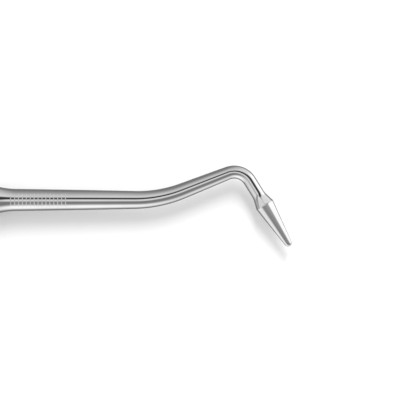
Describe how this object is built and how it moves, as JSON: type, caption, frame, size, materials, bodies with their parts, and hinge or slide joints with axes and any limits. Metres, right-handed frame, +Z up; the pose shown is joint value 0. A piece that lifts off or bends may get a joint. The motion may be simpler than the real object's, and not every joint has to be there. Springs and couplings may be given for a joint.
{
  "type": "dental elevator",
  "caption": "Angled root elevator: tapered spade blade, twice-bent shank and a hollow octagonal handle with silicone grip rings.",
  "frame": {"origin": "centre of the handle's bottom facet, halfway along the tube, on the surface that the instrument lies on", "axes": "+X along the handle towards the blade, +Y the side that the shank's first bend turns to, +Z up from the resting facet"},
  "size_m": [0.1604, 0.0191, 0.01],
  "materials": {
    "polished_steel": "mirror polished stainless",
    "satin_steel": "satin stainless",
    "dark_silicone": "matt silicone",
    "code_silicone": "matt silicone",
    "bush_polymer": "machined polymer"
  },
  "bodies": {
    "root": {"working_end": "polished_steel", "handle_tube": "satin_steel", "tang_bush": "bush_polymer", "front_cross_pin": "polished_steel", "rear_cross_pin": "polished_steel", "end_plug": "polished_steel", "front_seal_ring": "dark_silicone", "rear_seal_ring": "dark_silicone", "colour_code_ring": "code_silicone", "grip_ring_1": "dark_silicone", "grip_ring_2": "dark_silicone", "grip_ring_3": "dark_silicone", "grip_ring_4": "dark_silicone", "grip_ring_5": "dark_silicone", "grip_ring_6": "dark_silicone"}
  },
  "joints": []
}
